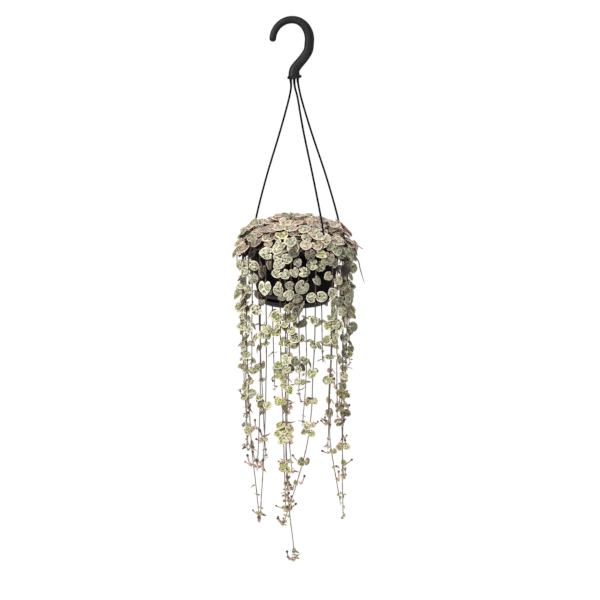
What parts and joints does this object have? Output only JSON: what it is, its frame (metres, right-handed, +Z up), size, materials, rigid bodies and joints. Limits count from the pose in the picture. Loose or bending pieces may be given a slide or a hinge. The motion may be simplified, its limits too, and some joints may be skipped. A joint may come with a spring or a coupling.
{
  "type": "potted string of hearts",
  "caption": "Hanging pot of variegated string of hearts: a mound of small heart-shaped leaves with long trailing vines over a black pot, saucer, strands and hook.",
  "frame": {"origin": "inside of the hook's crown, where the part hangs, straight above the pot's axis", "axes": "+Z up; -Y is the front of the pot as shown; +X to the right seen from the front"},
  "size_m": [0.1581, 0.1578, 0.6609],
  "materials": {
    "hanger": "dark grey moulded plastic, matt",
    "pot": "black moulded plastic, satin",
    "soil": "moist peat and bark mix, rough",
    "stems": "thin purple-brown stems",
    "leaves": "fleshy silver-green leaves mottled dark green, with cream to pink margins",
    "flowers": "small pink-mauve lantern flowers with dark tips"
  },
  "bodies": {
    "root": {"hook": "hanger", "pot": "pot", "saucer": "pot", "shoot_01": "leaves", "shoot_02": "leaves", "shoot_03": "leaves", "shoot_04": "leaves", "shoot_05": "leaves", "shoot_06": "leaves", "shoot_07": "leaves", "shoot_08": "leaves", "shoot_09": "leaves", "shoot_10": "leaves", "shoot_11": "leaves", "shoot_12": "leaves", "shoot_13": "leaves", "shoot_14": "leaves", "shoot_15": "leaves", "shoot_16": "leaves", "soil": "soil", "strand_front": "hanger", "strand_left": "hanger", "strand_right": "hanger", "trail_01": "leaves", "trail_02": "leaves", "trail_03": "leaves", "trail_04": "leaves", "trail_05": "leaves", "trail_06": "leaves", "trail_07": "leaves", "trail_08": "leaves", "trail_09": "leaves", "trail_10": "leaves", "trail_11": "leaves", "trail_12": "leaves", "trail_13": "leaves", "trail_14": "leaves", "trail_15": "leaves", "trail_16": "leaves", "trail_17": "leaves", "trail_18": "leaves", "trail_19": "leaves", "trail_20": "leaves", "trail_21": "leaves", "trail_22": "leaves", "trail_23": "leaves"}
  },
  "joints": []
}
